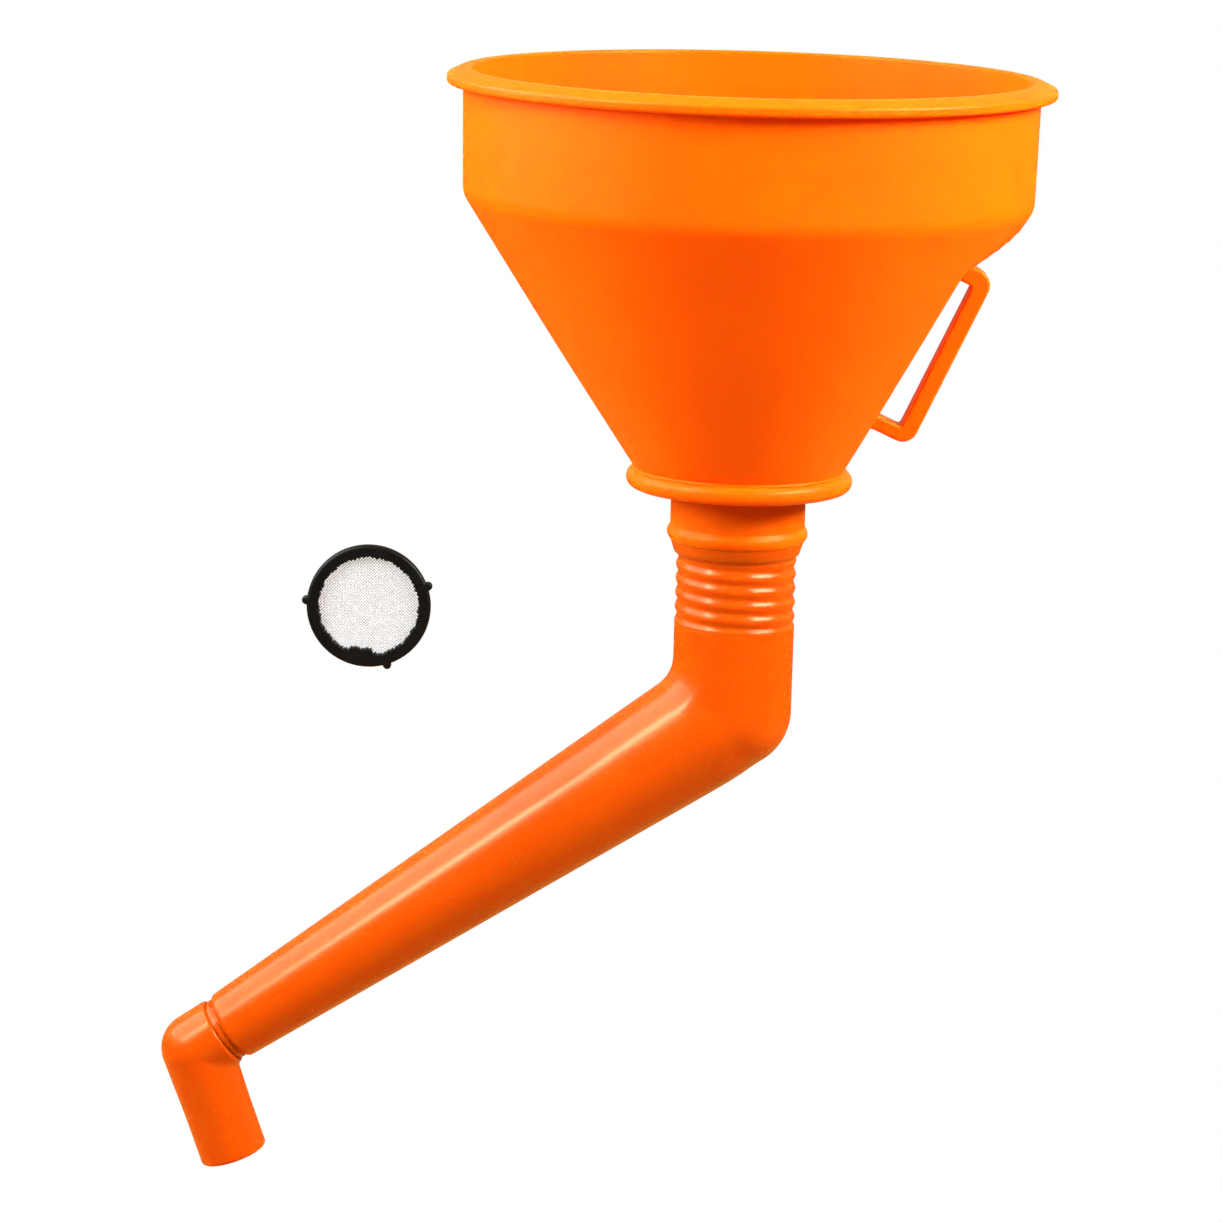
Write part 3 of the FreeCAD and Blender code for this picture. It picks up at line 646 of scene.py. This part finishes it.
def make_tube():
    """The upright tube, the elbow, the tapered tube and its neck, outside and inside."""
    slanted = across_of(SPOUT_AXIS)
    pivot = np.array((BEND_PIVOT, 0, BEND_TOP))
    fan_end = float((pivot - ELBOW) @ SPOUT_AXIS)
    reach = float(np.linalg.norm(pivot - (ELBOW + SPOUT_AXIS * fan_end)))
    origin = np.zeros(3)

    def upright(path):
        return rings_along(path, origin, UP, RIGHT, TUBE_COLUMNS)

    def slant(path):
        return rings_along(path, ELBOW, SPOUT_AXIS, slanted, TUBE_COLUMNS)

    def bend(wall):
        return fan(elbow_field(wall), pivot, RIGHT, slanted, reach, ELBOW_REACH, TUBE_COLUMNS,
                   ELBOW_PLANES)

    end = TAPER_LENGTH
    bore = TUBE_RADIUS - TUBE_WALL
    top = rounded(((BELLOWS_END, bore, 0), (BELLOWS_END, TUBE_RADIUS, 0.1),
                   (BEND_TOP, TUBE_RADIUS, 0)), 1.5, closed=False)
    along = np.linspace(fan_end, end - TAPER_EDGE, TAPER_RINGS)
    outside = [(s, float(taper_radius(s))) for s in along]
    inside = [(s, float(taper_radius(s)) - TAPER_WALL) for s in along[::-1][TAPER_SKIP:]]
    neck = rounded(((*outside[-1], 0), (end, float(taper_radius(end)), 1.5),
                    (end, NECK_RADIUS, 0.1), (end + NECK_RING_START, NECK_RADIUS, 0.1),
                    (end + NECK_RING_START, NECK_RING_RADIUS, 0.15),
                    (end + NECK_RING_END, NECK_RING_RADIUS, 0.15),
                    (end + NECK_RING_END, NECK_RADIUS, 0.1),
                    (end + NECK_END, NECK_RADIUS, 0.05), (end + NECK_END, SPIGOT_RADIUS, 0.0),
                    (end + SPIGOT_END, SPIGOT_RADIUS, 0.3), (end + SPIGOT_END, SPIGOT_BORE, 0.2),
                    (end - SPIGOT_BORE_START, SPIGOT_BORE, 0.5),
                    (end - TAPER_BORE_END, TAPER_END - TAPER_WALL, 0)), 1.5, closed=False)
    inner_top = [(z, bore) for z in np.linspace(BEND_TOP, BELLOWS_END - BORE_TOP, BORE_RINGS)]
    rows = upright(top) + bend(0.0) + slant(outside[:-1]) + slant(neck) + slant(inside)
    rows += bend(TAPER_WALL)[::-1] + upright(inner_top)
    piece("spout_pipe", *skin(rows), SHADED_SPOUT_ORANGE, "spout", "spout_tube", "orange_plastic")


def leg_radius(along, start):
    """The nozzle leg's radius, which narrows as far as its straight tip."""
    share = np.clip(along / NOZZLE_STRAIGHT, 0, 1)
    return start - (NOZZLE_RADIUS - NOZZLE_TIP_RADIUS) * share


def nozzle_field(inlet, leg):
    """Below 0 inside the nozzle, for the radii of its inlet and of its leg."""
    inward = unit(NOZZLE_AXIS - SPOUT_AXIS)

    def field(points):
        back, _ = half_line(points, VERTEX, -SPOUT_AXIS)
        down, along = half_line(points, VERTEX, NOZZLE_AXIS)
        softness = fillet(points, VERTEX, inward, NOZZLE_FILLET, NOZZLE_FILLET_START,
                          NOZZLE_FILLET_RUN)
        return smooth_min(back - inlet, down - leg_radius(along, leg), softness)

    return field


def make_nozzle():
    """The inlet over the spigot, the bend and the leg, outside and inside."""
    pivot = VERTEX + unit(NOZZLE_AXIS - SPOUT_AXIS) * NOZZLE_PIVOT
    before = float((pivot - VERTEX) @ -SPOUT_AXIS)
    past = float((pivot - VERTEX) @ NOZZLE_AXIS)
    reach = float(np.linalg.norm(pivot - (VERTEX - SPOUT_AXIS * before)))
    first = (VERTEX - SPOUT_AXIS * before - pivot) / reach
    second = unit(VERTEX + NOZZLE_AXIS * past - pivot)
    inlet_start = VERTEX - SPOUT_AXIS * NOZZLE_VERTEX

    def inlet(path):
        return rings_along(path, inlet_start, SPOUT_AXIS, first, NOZZLE_COLUMNS)

    def leg(path):
        return rings_along(path, VERTEX, NOZZLE_AXIS, second, NOZZLE_COLUMNS)

    def bend(inlet_radius, leg_start):
        return fan(nozzle_field(inlet_radius, leg_start), pivot, first, second, reach,
                   NOZZLE_REACH, NOZZLE_COLUMNS, NOZZLE_PLANES)

    inner = NOZZLE_RADIUS - NOZZLE_WALL
    tip_inner = NOZZLE_TIP_RADIUS - NOZZLE_WALL
    inlet_end = NOZZLE_VERTEX - before
    rim = rounded(((inlet_end, NOZZLE_BORE, 0), (NOZZLE_START, NOZZLE_BORE, 0.2),
                   (NOZZLE_START, NOZZLE_RADIUS, 0.75), (inlet_end, NOZZLE_RADIUS, 0)),
                  1.0, closed=False)
    tip = rounded(((past, float(leg_radius(past, NOZZLE_RADIUS)), 0),
                   (NOZZLE_STRAIGHT, NOZZLE_TIP_RADIUS, 0.0),
                   (NOZZLE_LENGTH, NOZZLE_TIP_RADIUS, 1.0), (NOZZLE_LENGTH, tip_inner, 0.25),
                   (NOZZLE_STRAIGHT, tip_inner, 0.0),
                   (past, float(leg_radius(past, inner)), 0)), 1.5, closed=False)
    rows = inlet(rim) + bend(NOZZLE_RADIUS, NOZZLE_RADIUS) + leg(tip)
    rows += bend(NOZZLE_BORE, inner)[::-1]
    piece("nozzle_moulding", *skin(rows), SHADED_SPOUT_ORANGE, "nozzle", "nozzle", "orange_plastic")


# ---------------------------------------------------------------- strainer

def strainer_place(points):
    """Turns a shape about its own Z axis to face -Y and moves it beside the bowl."""
    x, y, z = points[..., 0], points[..., 1], points[..., 2]
    return np.stack([x, -z, y], -1) + np.array(STRAINER)


def make_strainer():
    """The ring, with round lugs outside, a gate's tab inside and a ragged flash over the mesh."""
    outline = rounded(((RING_INNER, RING_HALF, 0.35), (RING_OUTER, RING_HALF, 0.9),
                       (RING_OUTER, -RING_HALF, 0.9), (RING_INNER, -RING_HALF, 0.35)), 0.5)
    rows = turned(outline, RING_COLUMNS)
    angle = degrees_round(RING_COLUMNS)
    radius, height = outline[:, 0], outline[:, 1]
    lugs = sum(np.sqrt(np.clip(1 - (away_from(angle, a) / LUG_HALF_ANGLE) ** 2, 0, 1))
               for a in LUG_ANGLES)
    outward = smooth_step((radius - LUG_START) / LUG_RUN)
    outward = outward * smooth_step((LUG_FACE - abs(height)) / LUG_FACE_RUN)
    tab = bump(angle, TAB_ANGLE, TAB_WIDTH, TAB_SOFTNESS)
    swells = 0.2 + 0.8 * wave(angle, TOOTH_SWELLS, 1)
    teeth = TOOTH_DEPTH * wave(angle, TOOTH_COUNT) * swells
    teeth = teeth + SCALLOP_DEPTH * wave(angle, SCALLOP_COUNT, 2)
    inward = smooth_step((FLASH_END - radius) / FLASH_RUN)
    shift = (outward[:, None] * (LUG_HEIGHT * lugs)[None]
             - inward[:, None] * (TAB_DEPTH * tab + teeth)[None])
    rows[:, :, :2] += shift[..., None] * outward_unit(angle)[None]
    vertices, faces = skin(rows)
    piece("strainer_rim", strainer_place(vertices), faces, BLACK, "strainer", "strainer_ring",
          "black_plastic")


def wire_line(family, number):
    """The bent line of one wire in the weave, or None if it would be too short."""
    offset = number * WEAVE_PITCH
    half = math.sqrt(max(WEAVE_RADIUS ** 2 - offset ** 2, 0))
    reach = int(half / WEAVE_PITCH * 2)
    if reach < 2:
        return None
    steps = np.arange(-reach, reach + 1)
    along = steps * WEAVE_PITCH / 2
    lift = WIRE_LIFT * np.cos(math.pi * (steps / 2 + number + family))
    beside = np.full_like(along, offset)
    x, y = (along, beside) if family == 0 else (beside, along)
    return np.stack([x * math.cos(WEAVE_TURN) - y * math.sin(WEAVE_TURN),
                     x * math.sin(WEAVE_TURN) + y * math.cos(WEAVE_TURN), lift], -1)


def make_weave():
    """Plain-woven wires: each passes over and under the ones that it crosses."""
    count = int(WEAVE_RADIUS / WEAVE_PITCH)
    acrosses = (np.array((-math.sin(WEAVE_TURN), math.cos(WEAVE_TURN), 0.0)),
                np.array((-math.cos(WEAVE_TURN), -math.sin(WEAVE_TURN), 0.0)))
    angle = angles(WIRE_SIDES)
    parts, caps, total = [], [], 0
    for family, across in enumerate(acrosses):
        section = WIRE_RADIUS * (np.cos(angle)[:, None] * across + np.sin(angle)[:, None] * UP)
        for number in range(-count, count + 1):
            line = wire_line(family, number)
            if line is None:
                continue
            rows = line[:, None, :] + section[None]
            caps += end_caps(total, len(rows), WIRE_SIDES)
            total += len(rows) * WIRE_SIDES
            parts.append(skin(rows, closed=False))
    vertices, faces = joined(parts)
    piece("strainer_weave", strainer_place(vertices), faces, WIRE, "strainer", "strainer_mesh",
          "mesh_wire", caps)


make_bowl()
make_handle()
make_plug()
make_shoulder()
make_bellows()
make_tube()
make_nozzle()
make_strainer()
make_weave()


# ---------------------------------------------------------------- camera, lights and floor

CAMERA_TARGET = (-33.15, 0.0, -34.65)
CAMERA_DISTANCE = 1200.0
CAMERA_ELEVATION = math.radians(11.6)
CAMERA_ROLL = math.radians(1.585)
CAMERA_ANGLE = math.radians(15.5703786)
CAMERA_CLIP = (0.05, 20.0)
FLOOR_DROP, FLOOR_HALF = 0.12, 6.0
FLOOR_GLOW = (0.34, 0.21, 0.04)
STUDIO_GLOW = (1.0, 0.85, 0.36)
GLOW_FRONT, GLOW_BACK = 0.12, 0.6
GLOW_FROM, GLOW_TO = -0.2, 0.3

# name, place, target, size in metres and power in watts
LIGHTS = (
    ("key_left", (-0.57, -0.09, 0.39), (0, 0, 0.03), (0.90, 0.70), 14),
    ("strip_left", (-0.50, -0.33, 0.40), (-0.03, 0, 0), (0.04, 0.45), 6.6),
    ("key_right", (0.53, -0.29, 0.40), (0, 0, 0.03), (0.50, 0.26), 19),
)


def make_camera():
    """A camera at the photo's viewing angle, with its slight roll."""
    forward = Vector((0, math.cos(CAMERA_ELEVATION), -math.sin(CAMERA_ELEVATION)))
    right = Vector((1, 0, 0))
    up = right.cross(forward)
    rolled_right = right * math.cos(CAMERA_ROLL) + up * math.sin(CAMERA_ROLL)
    rolled_up = up * math.cos(CAMERA_ROLL) - right * math.sin(CAMERA_ROLL)
    data = bpy.data.cameras.new("camera")
    data.angle = CAMERA_ANGLE
    data.clip_start, data.clip_end = CAMERA_CLIP
    camera = bpy.data.objects.new("camera", data)
    bpy.context.scene.collection.objects.link(camera)
    matrix = Matrix((rolled_right, rolled_up, -forward)).transposed().to_4x4()
    matrix.translation = (Vector(CAMERA_TARGET) - forward * CAMERA_DISTANCE) * MM
    camera.matrix_world = matrix
    bpy.context.scene.camera = camera


def area_light(name, place, target, size, power):
    """A rectangular white lamp that points at its target."""
    data = bpy.data.lights.new(name, "AREA")
    data.shape = "RECTANGLE"
    data.size, data.size_y = size
    data.energy = power
    light = bpy.data.objects.new(name, data)
    bpy.context.scene.collection.objects.link(light)
    light.location = place
    light.rotation_euler = (Vector(target) - Vector(place)).to_track_quat("-Z", "Y").to_euler()


def seen_and_lit(tree, surface, seen, lit):
    """Joins two shaders: one for what the camera sees, one for what lights the object."""
    path = node(tree, "ShaderNodeLightPath")
    both = node(tree, "ShaderNodeMixShader")
    tree.links.new(path.outputs["Is Camera Ray"], both.inputs[0])
    tree.links.new(lit, both.inputs[1])
    tree.links.new(seen, both.inputs[2])
    tree.links.new(both.outputs[0], surface)


def make_world():
    """A white backdrop that lights the object with a soft warm glow, brighter at the back."""
    world = bpy.data.worlds.new("studio")
    bpy.context.scene.world = world
    world.use_nodes = True
    tree = world.node_tree
    tree.nodes.clear()
    out = node(tree, "ShaderNodeOutputWorld")
    white = node(tree, "ShaderNodeBackground", Color=(1, 1, 1, 1), Strength=1.0)
    where = node(tree, "ShaderNodeTexCoord")
    split = node(tree, "ShaderNodeSeparateXYZ")
    tree.links.new(where.outputs["Generated"], split.inputs[0])
    strength = ranged(tree, split.outputs["Y"], GLOW_FRONT, GLOW_BACK, GLOW_FROM, GLOW_TO)
    soft = node(tree, "ShaderNodeBackground", Color=(*STUDIO_GLOW, 1))
    tree.links.new(strength, soft.inputs["Strength"])
    seen_and_lit(tree, out.inputs["Surface"], white.outputs[0], soft.outputs[0])


def make_floor():
    """A plain white floor under the object."""
    level = CAD_BOX[0].z - FLOOR_DROP
    corners = [(x * FLOOR_HALF, y * FLOOR_HALF, level)
               for x, y in ((-1, -1), (1, -1), (1, 1), (-1, 1))]
    mesh = bpy.data.meshes.new("floor")
    mesh.from_pydata(corners, [], [(0, 1, 2, 3)])
    floor = bpy.data.objects.new("floor", mesh)
    bpy.context.scene.collection.objects.link(floor)
    material = bpy.data.materials.new("pale_floor")
    material.use_nodes = True
    tree = material.node_tree
    tree.nodes.clear()
    out = node(tree, "ShaderNodeOutputMaterial")
    white = node(tree, "ShaderNodeEmission", Color=(1, 1, 1, 1), Strength=1.0)
    soft = node(tree, "ShaderNodeBsdfDiffuse", Color=(*FLOOR_GLOW, 1))
    seen_and_lit(tree, out.inputs["Surface"], white.outputs[0], soft.outputs[0])
    mesh.materials.append(material)


make_camera()
make_world()
make_floor()
for light_row in LIGHTS:
    area_light(*light_row)
bpy.context.scene.view_settings.view_transform = "Standard"
